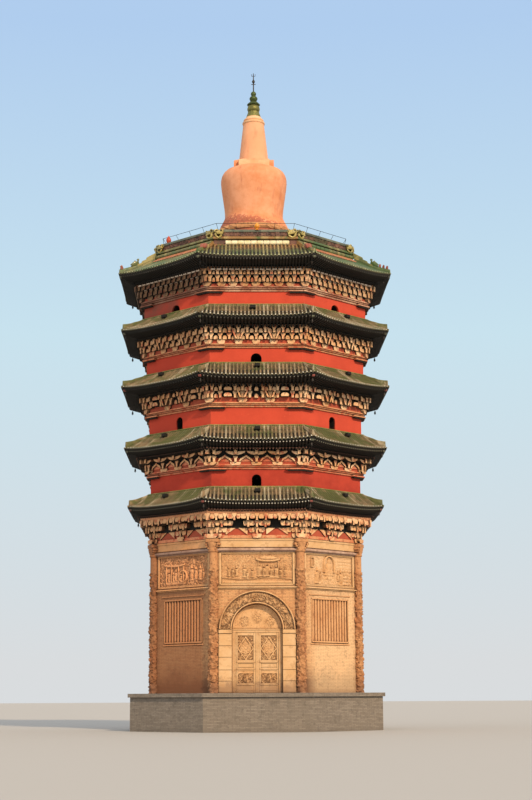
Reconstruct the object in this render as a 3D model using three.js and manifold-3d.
// An octagonal brick pagoda of five storeys that grow wider towards the top, with a plastered
// stupa on its roof deck. Millimetres, +Z up, origin on the ground under the middle of the plinth.
// The front face looks along -Y, and the faces are counted anticlockwise seen from above.

import * as THREE from "three";
import { mergeVertices } from "three/addons/utils/BufferGeometryUtils.js";
import Module from "manifold-3d";

const wasm = await Module();
wasm.setup();

// Driving dimensions. An apothem is the distance from the axis to the middle of a face.
const SIDES = 8;
const FACE_TURN = (2 * Math.PI) / SIDES;
const CORNER_TURN = FACE_TURN / 2;
const SEAT_GAP = 0.3;
const OVERSHOOT = 20;

const PLINTH = { apothem: 6850, height: 2000, coping: 180, lip: 130 };
const WALL_THICKNESS = 2500;
const FLOOR_THICKNESS = 200;
const CORNER_CLEARANCE = 400;

// One row for each storey, from the ground up. Heights are above the ground:
// base: underside of the storey's wall, ledge: top of the bare wall, brackets: [foot, head] of the
// bracket course, reach: how far the course stands out, eave: apothem and height of the tile edge,
// ridge: where the roof skirt meets the next wall, sets, setWidth and tiers: the bracket sets of
// one face, how wide each is and how many steps it has.
const STOREYS = [
  { apothem: 5600, base: 2000, ledge: 10120, brackets: [10120, 11640], reach: 6380,
    eave: { apothem: 6980, height: 11900 }, ridge: 12910, sets: 1, setWidth: 2000, tiers: 2 },
  { apothem: 5840, base: 12600, ledge: 13820, brackets: [14230, 14940], reach: 6460,
    eave: { apothem: 7200, height: 15150 }, ridge: 16240, sets: 4, setWidth: 560, tiers: 1 },
  { apothem: 5940, base: 15930, ledge: 17190, brackets: [17530, 18430], reach: 6500,
    eave: { apothem: 7390, height: 18600 }, ridge: 19640, sets: 4, setWidth: 620, tiers: 1 },
  { apothem: 6100, base: 19380, ledge: 20420, brackets: [20760, 21650], reach: 6630,
    eave: { apothem: 7420, height: 21840 }, ridge: 22840, sets: 4, setWidth: 620, tiers: 1 },
  { apothem: 6260, base: 22580, ledge: 23530, brackets: [23900, 24820], reach: 6830,
    eave: { apothem: 7640, height: 25100 }, ridge: 26420, sets: 4, setWidth: 680, tiers: 1 },
];
const WALL_5_TOP = 25700;

// Arched windows of the upper storeys: width and crown height, on the four flat-on faces (first: 0)
// or on the four diagonal ones (first: 1). The sill is level with the ridge of the roof below.
const WINDOWS = [
  { storey: 2, first: 0, width: 510, crown: 13550 },
  { storey: 3, first: 1, width: 500, crown: 16950 },
  { storey: 4, first: 0, width: 590, crown: 20140 },
  { storey: 5, first: 1, width: 640, crown: 23230 },
];

const LEDGE = { lower: 90, upper: 210 };
const BRACKET = { strip: 130, beamShare: 0.2, setBack: 60, taper: 0.6, bite: 10 };
const EAVE = { edge: 120, lift: 150, flare: 90, ridgeWidth: 170, ridgeHeight: 130, stations: 3 };
const ARCH = { width: 2690, spring: 5330, recess: 450, band: 705, proud: 90, hood: 110,
  hoodProud: 170, jambProud: 60, segments: 10 };
const DOOR = { thickness: 150, frameProud: 60, jamb: 215, head: 160, mullion: 190, lockRail: 3620,
  lockRailHeight: 330, sill: 460 };
const DOORWAY = { width: 1500, head: 4500 };
const LATTICE = { width: 2900, foot: 4500, height: 2500, member: 160, depth: 170, recess: 120,
  panelDepth: 60 };
const RELIEF = { width: 3900, foot: 7660, head: 9390, recess: 60 };
const COLUMN = { radius: 250, sides: 16 };
const ARCHITRAVE = { foot: 9450, head: 10120, roll: 160, apothem: 5720, rollApothem: 5770,
  capWidth: 900, capFoot: 9640, capReach: 6260 };

const DECK = { apothem: 5600, top: 26380 };
const PARAPET = { apothem: 5560, thickness: 300, head: 27260, coping: 130, lip: 60, cornerBlock: 480,
  cornerHeight: 520, cornerRise: 60 };
const RAIL = { apothem: 5020, head: 27760, bar: 60, post: 46, posts: 2 };
// Radii and heights of the plastered stupa, foot to shoulder, and of what stands on it.
const BELL = [[2350, 26380], [2350, 26900], [2150, 27100], [2150, 28500], [2010, 28960],
  [1710, 29600], [1740, 30100], [1860, 30950], [1945, 31800], [1890, 32240], [1700, 32500],
  [1150, 32700]];
const COLLAR = { width: 1840, arm: 1480, reach: 2360, foot: 32700, height: 400, armHeight: 440 };
const CONE = [[880, 33100], [630, 35190], [670, 35210], [670, 35340], [590, 35380],
  [570, 35560], [450, 35640], [430, 35820]];
const CROWN = [[430, 35820], [350, 36180], [375, 36420], [330, 36620], [385, 36660],
  [220, 36880], [250, 37040], [150, 37220], [165, 37360], [90, 37480]];
const BELL_SEGMENTS = 24;
const CONE_SEGMENTS = 20;
const CROWN_SEGMENTS = 12;
const ROD = { radius: 35, top: 38650, ball: 90, ballHeight: 38100, prong: 210, cross: 37950 };

// Materials

const material = (color, roughness, metalness = 0) =>
  new THREE.MeshStandardMaterial({ color, roughness, metalness });
const greyBrick = material(0x8d7a68, 0.95);
const tanBrick = material(0xd39a5f, 0.92);
const carvedStone = material(0xdba467, 0.88);
const redPlaster = material(0xb8432e, 0.9);
const bracketBrick = material(0xc98e58, 0.92);
const roofTile = material(0x6d6c45, 0.6);
const floorBrick = material(0x8a7f72, 0.95);
const glazedTile = material(0x8a6a3c, 0.45);
const peachPlaster = material(0xe39a6c, 0.85);
const bronze = material(0x4d5a3a, 0.5, 0.7);
const iron = material(0x4a4744, 0.6, 0.8);

// Solids: three.js makes the shapes, and manifold-3d joins and cuts them.

function solid(geometry) {
  const bare = geometry.clone();
  bare.deleteAttribute("normal");
  bare.deleteAttribute("uv");
  const welded = mergeVertices(bare, 1e-3);
  return new wasm.Manifold(
    new wasm.Mesh({
      numProp: 3,
      vertProperties: welded.attributes.position.array,
      triVerts: new Uint32Array(welded.index.array),
    }),
  );
}

function geometryOf(body) {
  const mesh = body.getMesh();
  return new THREE.BufferGeometry()
    .setAttribute("position", new THREE.BufferAttribute(mesh.vertProperties, 3))
    .setIndex(new THREE.BufferAttribute(mesh.triVerts, 1))
    .toNonIndexed();
}

const join = (solids) => solids.reduce((whole, piece) => whole.add(piece));
const cut = (body, cutters) => cutters.reduce((whole, cutter) => whole.subtract(cutter), body);

function box(width, depth, x, y, foot, head) {
  return new THREE.BoxGeometry(width, depth, head - foot).translate(x, y, (foot + head) / 2);
}

// A box that stands out from a face: across the face, from one depth to another, foot to head.
function faceBox(width, x, from, to, foot, head) {
  return box(width, to - from, x, -(from + to) / 2, foot, head);
}

// An outline in the plane of a face, pushed outwards from one distance from the axis to another.
function faceExtrusion(shape, from, to, curveSegments = 12) {
  return new THREE.ExtrudeGeometry(shape, { depth: to - from, bevelEnabled: false, curveSegments })
    .rotateX(Math.PI / 2)
    .translate(0, -from, 0);
}

function octagonPrism(apothem, foot, head, turn = 0) {
  const radius = apothem / Math.cos(CORNER_TURN);
  const corners = [];
  for (let k = 0; k < SIDES; k++) {
    const angle = (k + 0.5) * FACE_TURN + turn;
    corners.push(new THREE.Vector2(radius * Math.cos(angle), radius * Math.sin(angle)));
  }
  return new THREE.ExtrudeGeometry(new THREE.Shape(corners), {
    depth: head - foot,
    bevelEnabled: false,
  }).translate(0, 0, foot);
}

function turned(points, segments) {
  return new THREE.LatheGeometry(
    points.map(([radius, height]) => new THREE.Vector2(radius, height)),
    segments,
  ).rotateX(Math.PI / 2);
}

// A ring or block of octagonal plan from a profile of [apothem, height, lift], where lift says how
// much of the eave's corner upturn a point takes. The profile runs anticlockwise.
function octagonSweep(profile, stations = 1) {
  const turnedRound = new THREE.LatheGeometry(
    profile.map(([apothem, height]) => new THREE.Vector2(apothem, height)),
    SIDES * stations,
    CORNER_TURN,
  ).rotateX(Math.PI / 2);
  const position = turnedRound.attributes.position;
  for (let i = 0; i < position.count; i++) {
    const x = position.getX(i);
    const y = position.getY(i);
    const lift = profile[i % profile.length][2] ?? 0;
    const angle = Math.atan2(x, -y);
    const fromFace = angle - Math.round(angle / FACE_TURN) * FACE_TURN;
    const along = Math.abs(Math.tan(fromFace) / Math.tan(CORNER_TURN));
    const upturn = lift * along ** 3;
    const apothem = Math.hypot(x, y) + upturn * EAVE.flare;
    const radius = apothem / Math.cos(fromFace);
    position.setXY(i, radius * Math.sin(angle), -radius * Math.cos(angle));
    position.setZ(i, position.getZ(i) + upturn * EAVE.lift);
  }
  return turnedRound;
}

const closed = (profile) => [...profile, profile[0]];

function archShape(width, foot, spring) {
  const half = width / 2;
  const shape = new THREE.Shape();
  shape.moveTo(-half, foot);
  shape.lineTo(half, foot);
  shape.lineTo(half, spring);
  shape.absarc(0, spring, half, 0, Math.PI, false);
  shape.closePath();
  return shape;
}

// The group that carries everything

const pagoda = new THREE.Group();

function place(name, geometry, finish, parent = pagoda) {
  const mesh = new THREE.Mesh(geometry, finish);
  mesh.name = name;
  parent.add(mesh);
}

const faceGroup = (k) => {
  const group = new THREE.Group();
  group.rotation.z = k * FACE_TURN;
  pagoda.add(group);
  return group;
};

const FACE_NAMES = ["front", "front_right", "right", "back_right", "back", "back_left", "left",
  "front_left"];
const FLAT_ON = [0, 2, 4, 6];
const DIAGONAL = [1, 3, 5, 7];
const BACK = 4;

// Plinth

function plinth() {
  const body = octagonPrism(PLINTH.apothem, 0, PLINTH.height - PLINTH.coping);
  const copingFoot = PLINTH.height - PLINTH.coping - OVERSHOOT;
  const coping = octagonPrism(PLINTH.apothem + PLINTH.lip, copingFoot, PLINTH.height);
  return geometryOf(solid(body).add(solid(coping)));
}

// Walls

function wallRing(apothem, foot, head) {
  const inner = apothem - WALL_THICKNESS;
  const profile = [[inner, foot], [apothem, foot], [apothem, head], [inner, head]];
  return solid(octagonSweep(closed(profile)));
}

function onFace(geometry, k) {
  return solid(geometry.clone().rotateZ(k * FACE_TURN));
}

function groundWall() {
  const { apothem, base } = STOREYS[0];
  const outside = apothem + OVERSHOOT;
  const blindArch = faceExtrusion(archShape(ARCH.width, base - OVERSHOOT, ARCH.spring),
    apothem - ARCH.recess, outside, ARCH.segments);
  const doorway = faceBox(DOORWAY.width, 0, apothem - WALL_THICKNESS - CORNER_CLEARANCE, outside,
    base - OVERSHOOT, DOORWAY.head);
  const lattice = faceBox(LATTICE.width, 0, apothem - LATTICE.recess, outside, LATTICE.foot,
    LATTICE.foot + LATTICE.height);
  const relief = faceBox(RELIEF.width, 0, apothem - RELIEF.recess, outside, RELIEF.foot,
    RELIEF.head);
  const cutters = [];
  for (const k of FLAT_ON) cutters.push(onFace(blindArch, k));
  cutters.push(onFace(doorway, BACK));
  for (const k of DIAGONAL) cutters.push(onFace(lattice, k));
  for (let k = 0; k < SIDES; k++) cutters.push(onFace(relief, k));
  return geometryOf(cut(wallRing(apothem, base, STOREYS[1].base), cutters));
}

function upperWall(number) {
  const { apothem, base } = STOREYS[number - 1];
  const head = number === STOREYS.length ? WALL_5_TOP : STOREYS[number].base;
  const { first, width, crown } = WINDOWS.find((row) => row.storey === number);
  const sill = STOREYS[number - 2].ridge;
  const opening = faceExtrusion(archShape(width, sill, crown - width / 2),
    apothem - WALL_THICKNESS - CORNER_CLEARANCE, apothem + OVERSHOOT, 8);
  const cutters = [0, 2, 4, 6].map((k) => onFace(opening, first + k));
  return geometryOf(cut(wallRing(apothem, base, head), cutters));
}

// Each floor lies on the ledge that the narrower wall below leaves.
function floorSlab(number) {
  const { apothem, base } = STOREYS[number - 1];
  const inner = apothem - WALL_THICKNESS - SEAT_GAP;
  return octagonPrism(inner, base, base + FLOOR_THICKNESS);
}

// Carved pieces of the ground storey, made for the front face

function archBand() {
  const wallFace = STOREYS[0].apothem + SEAT_GAP;
  const inner = ARCH.width / 2;
  const outer = inner + ARCH.band;
  const halfRing = (from, to) => {
    const shape = new THREE.Shape();
    shape.absarc(0, ARCH.spring, to, 0, Math.PI, false);
    shape.absarc(0, ARCH.spring, from, Math.PI, 0, true);
    shape.closePath();
    return shape;
  };
  const band = faceExtrusion(halfRing(inner, outer), wallFace, wallFace + ARCH.proud,
    ARCH.segments);
  const hood = faceExtrusion(halfRing(outer - ARCH.hood, outer), wallFace,
    wallFace + ARCH.hoodProud, ARCH.segments);
  const jambs = [-1, 1].map((side) =>
    solid(faceBox(ARCH.band, side * (inner + ARCH.band / 2), wallFace, wallFace + ARCH.jambProud,
      STOREYS[0].base, ARCH.spring + OVERSHOOT)));
  return geometryOf(join([solid(band), solid(hood), ...jambs]));
}

// The carved slab that closes an arch: a tympanum over a framed pair of leaves, or over a doorway.
function doorSlab(open) {
  const back = STOREYS[0].apothem - ARCH.recess + SEAT_GAP;
  const face = back + DOOR.thickness;
  const proud = face + DOOR.frameProud;
  const width = ARCH.width - 2 * SEAT_GAP;
  const foot = STOREYS[0].base;
  const slab = solid(faceExtrusion(archShape(width, foot, ARCH.spring), back, face, ARCH.segments));
  const post = (x, across) => solid(faceBox(across, x, back, proud, foot, ARCH.spring));
  const rail = (low, high) => solid(faceBox(width, 0, back, proud, low, high));
  const frame = [
    post((DOOR.jamb - width) / 2, DOOR.jamb),
    post((width - DOOR.jamb) / 2, DOOR.jamb),
    rail(ARCH.spring - DOOR.head, ARCH.spring),
  ];
  if (open) {
    const doorway = faceBox(DOORWAY.width, 0, back - OVERSHOOT, proud, foot - OVERSHOOT,
      DOORWAY.head);
    return geometryOf(cut(join([slab, ...frame]), [solid(doorway)]));
  }
  const leafRails = [
    post(0, DOOR.mullion),
    rail(DOOR.lockRail - DOOR.lockRailHeight / 2, DOOR.lockRail + DOOR.lockRailHeight / 2),
    rail(foot, foot + DOOR.sill),
  ];
  return geometryOf(join([slab, ...frame, ...leafRails]));
}

function latticeWindow() {
  const back = STOREYS[0].apothem - LATTICE.recess + SEAT_GAP;
  const width = LATTICE.width - 2 * SEAT_GAP;
  const foot = LATTICE.foot + SEAT_GAP;
  const head = LATTICE.foot + LATTICE.height - SEAT_GAP;
  const frame = solid(faceBox(width, 0, back, back + LATTICE.depth, foot, head));
  const light = solid(faceBox(width - 2 * LATTICE.member, 0, back + LATTICE.panelDepth,
    back + LATTICE.depth + OVERSHOOT, foot + LATTICE.member, head - LATTICE.member));
  return geometryOf(cut(frame, [light]));
}

// An engaged column: a round shaft on the corner of the wall, with the wall cut out of it.
function cornerColumn() {
  const { apothem, base } = STOREYS[0];
  const corner = apothem / Math.cos(CORNER_TURN);
  const head = ARCHITRAVE.foot;
  const shaft = new THREE.CylinderGeometry(COLUMN.radius, COLUMN.radius, head - base, COLUMN.sides)
    .rotateX(Math.PI / 2)
    .translate(0, -corner, (head + base) / 2);
  const wall = octagonPrism(apothem + SEAT_GAP, base - OVERSHOOT, head + OVERSHOOT, CORNER_TURN);
  return geometryOf(cut(solid(shaft), [solid(wall)]));
}

function architrave() {
  const inner = STOREYS[0].apothem + SEAT_GAP;
  const { foot, head, roll, apothem, rollApothem, capWidth, capFoot, capReach } = ARCHITRAVE;
  const profile = [[inner, foot], [rollApothem, foot], [rollApothem, foot + roll],
    [apothem, foot + roll], [apothem, head], [inner, head]];
  const ring = solid(octagonSweep(closed(profile)));
  const caps = [];
  for (let k = 0; k < SIDES; k++) {
    caps.push(onFace(faceBox(capWidth, 0, apothem, capReach, capFoot, head), k + 0.5));
  }
  const wall = solid(octagonPrism(inner, foot - OVERSHOOT, head + OVERSHOOT));
  return geometryOf(cut(join([ring, ...caps]), [wall]));
}

// Bracket courses: a ledge, a bare wall strip, a head beam, and stepped bracket sets between them

function bracketCourse(number) {
  const { apothem, ledge, brackets, reach, sets, setWidth, tiers } = STOREYS[number - 1];
  const [foot, head] = brackets;
  const inner = apothem + SEAT_GAP;
  const strip = apothem + BRACKET.strip;
  const beamFoot = head - (head - foot) * BRACKET.beamShare;
  const profile = [[inner, foot], [strip, foot], [strip, beamFoot], [reach, beamFoot],
    [reach, head], [inner, head]];
  if (ledge < foot) {
    const step = (ledge + foot) / 2;
    profile.splice(0, 1, [inner, ledge], [apothem + LEDGE.lower, ledge], [apothem + LEDGE.lower, step],
      [apothem + LEDGE.upper, step], [apothem + LEDGE.upper, foot]);
  }
  const rise = (beamFoot - foot) / tiers;
  const setReach = reach - BRACKET.setBack;
  const bracketSet = (distance) => {
    const steps = [];
    for (let i = 0; i < tiers; i++) {
      const share = (i + 1) / tiers;
      const width = setWidth * (1 - BRACKET.taper * (1 - share));
      const out = strip + (setReach - strip) * share;
      steps.push(faceBox(width, 0, distance(inner), distance(out), foot + i * rise,
        beamFoot + BRACKET.bite));
    }
    return steps;
  };
  const onFlat = bracketSet((away) => away);
  const onCorner = bracketSet((away) => away / Math.cos(CORNER_TURN));
  const pitch = (2 * reach * Math.tan(CORNER_TURN)) / (sets + 1);
  const pieces = [];
  for (let k = 0; k < SIDES; k++) {
    for (let i = 0; i < sets; i++) {
      const x = (i - (sets - 1) / 2) * pitch;
      for (const step of onFlat) pieces.push(onFace(step.clone().translate(x, 0, 0), k));
    }
    for (const step of onCorner) pieces.push(onFace(step, k + 0.5));
  }
  const wall = solid(octagonPrism(inner, ledge - OVERSHOOT, head + OVERSHOOT));
  return geometryOf(cut(join([solid(octagonSweep(closed(profile))), ...pieces]), [wall]));
}

// Roof skirts: flat soffit on the bracket course, tile edge turned up at the corners, tiled slope

function roofSkirt(number) {
  const { apothem, brackets, reach, eave, ridge } = STOREYS[number - 1];
  const next = STOREYS[number];
  const top = number === STOREYS.length;
  const inner = apothem + SEAT_GAP;
  const seat = top ? WALL_5_TOP : next.base;
  const back = (top ? DECK.apothem : next.apothem) + SEAT_GAP;
  const ridgeFace = back + EAVE.ridgeWidth;
  const slopeTop = ridge - EAVE.ridgeHeight;
  const edgeTop = eave.height + EAVE.edge;
  const middle = [(ridgeFace + eave.apothem) / 2, (slopeTop + edgeTop) / 2 - 50, 0.3];
  const profile = [
    [inner, brackets[1], 0],
    [reach - 100, brackets[1], 0],
    [eave.apothem, eave.height, 1],
    [eave.apothem, edgeTop, 1],
    middle,
    [ridgeFace, slopeTop, 0],
    [ridgeFace, ridge, 0],
    [back, ridge, 0],
    [back, seat, 0],
    [inner, seat, 0],
  ];
  return geometryOf(solid(octagonSweep(closed(profile), EAVE.stations)));
}

// Roof deck

function parapet() {
  const { apothem, thickness, head, coping, lip, cornerBlock, cornerHeight, cornerRise } = PARAPET;
  const inner = apothem - thickness;
  const profile = [[inner, DECK.top], [apothem, DECK.top], [apothem, head - coping],
    [apothem + lip, head - coping], [apothem + lip, head], [inner - lip, head],
    [inner - lip, head - coping], [inner, head - coping]];
  const ring = solid(octagonSweep(closed(profile)));
  const corner = apothem / Math.cos(CORNER_TURN);
  const top = head + cornerRise;
  const blocks = [];
  for (let k = 0; k < SIDES; k++) {
    const block = faceBox(cornerBlock, 0, corner - cornerBlock / 2, corner + cornerBlock / 2,
      top - cornerHeight, top);
    blocks.push(onFace(block, k + 0.5));
  }
  return geometryOf(join([ring, ...blocks]));
}

function deckRail() {
  const { apothem, head, bar, post, posts } = RAIL;
  const inner = apothem - bar / 2;
  const outer = apothem + bar / 2;
  const profile = [[inner, head - bar], [outer, head - bar], [outer, head], [inner, head]];
  const pieces = [solid(octagonSweep(closed(profile)))];
  const pitch = (2 * apothem * Math.tan(CORNER_TURN)) / posts;
  for (let k = 0; k < SIDES; k++) {
    for (let i = 0; i < posts; i++) {
      const x = (i - (posts - 1) / 2) * pitch;
      pieces.push(onFace(faceBox(post, x, apothem - post / 2, apothem + post / 2, DECK.top,
        head - bar / 2), k));
    }
  }
  return geometryOf(join(pieces));
}

// Stupa

function bodyOfRevolution(outline, segments) {
  const foot = outline[0][1];
  const head = outline[outline.length - 1][1];
  return turned([[0, foot], ...outline, [0, head]], segments);
}

function collar() {
  const { width, arm, reach, foot, height, armHeight } = COLLAR;
  const block = solid(box(width, width, 0, 0, foot, foot + height));
  const across = solid(box(reach, arm, 0, 0, foot, foot + armHeight));
  const along = solid(box(arm, reach, 0, 0, foot, foot + armHeight));
  const seat = solid(turned([[0, CONE[0][1]], [CONE[0][0] + 60, CONE[0][1]],
    [CONE[0][0] + 60, foot + armHeight + OVERSHOOT], [0, foot + armHeight + OVERSHOOT]],
    CONE_SEGMENTS));
  return geometryOf(cut(join([block, across, along]), [seat]));
}

function rod() {
  const { radius, top, ball, ballHeight, prong, cross } = ROD;
  const crownTop = CROWN[CROWN.length - 1][1];
  const outline = [[radius, crownTop], [radius, ballHeight - ball], [ball, ballHeight],
    [radius, ballHeight + ball], [radius * 0.6, top]];
  const arms = box(2 * prong * 0.6, radius, 0, 0, cross - radius, cross);
  const fork = box(prong, radius, 0, 0, top - prong, top - prong + radius);
  const tines = [-1, 1].map((side) =>
    solid(box(radius, radius, (side * prong) / 2, 0, top - prong, top - prong / 3)));
  return geometryOf(join([solid(bodyOfRevolution(outline, 8)), solid(arms), solid(fork),
    ...tines]));
}

// Assembly

place("plinth", plinth(), greyBrick);
place("ground_wall", groundWall(), tanBrick);
for (let k = 0; k < SIDES; k++) {
  place(`corner_column_${k + 1}`, cornerColumn(), tanBrick, faceGroup(k + 0.5));
}
for (const k of FLAT_ON) {
  place(`door_arch_${FACE_NAMES[k]}`, archBand(), carvedStone, faceGroup(k));
  const slabName = k === BACK ? "doorway" : "blind_door";
  place(`${slabName}_${FACE_NAMES[k]}`, doorSlab(k === BACK), carvedStone, faceGroup(k));
}
for (const k of DIAGONAL) {
  place(`lattice_window_${FACE_NAMES[k]}`, latticeWindow(), tanBrick, faceGroup(k));
}
place("architrave", architrave(), carvedStone);
for (let number = 1; number <= STOREYS.length; number++) {
  if (number > 1) {
    place(`wall_${number}`, upperWall(number), redPlaster);
    place(`floor_${number}`, floorSlab(number), floorBrick);
  }
  place(`bracket_course_${number}`, bracketCourse(number), bracketBrick);
  place(`roof_skirt_${number}`, roofSkirt(number), roofTile);
}
place("roof_deck", octagonPrism(DECK.apothem, WALL_5_TOP, DECK.top), floorBrick);
place("parapet", parapet(), glazedTile);
place("deck_rail", deckRail(), iron);
place("stupa_bell", bodyOfRevolution(BELL, BELL_SEGMENTS), peachPlaster);
place("stupa_collar", collar(), peachPlaster);
place("stupa_cone", bodyOfRevolution(CONE, CONE_SEGMENTS), peachPlaster);
place("finial_crown", bodyOfRevolution(CROWN, CROWN_SEGMENTS), bronze);
place("finial_rod", rod(), iron);

export default pagoda;
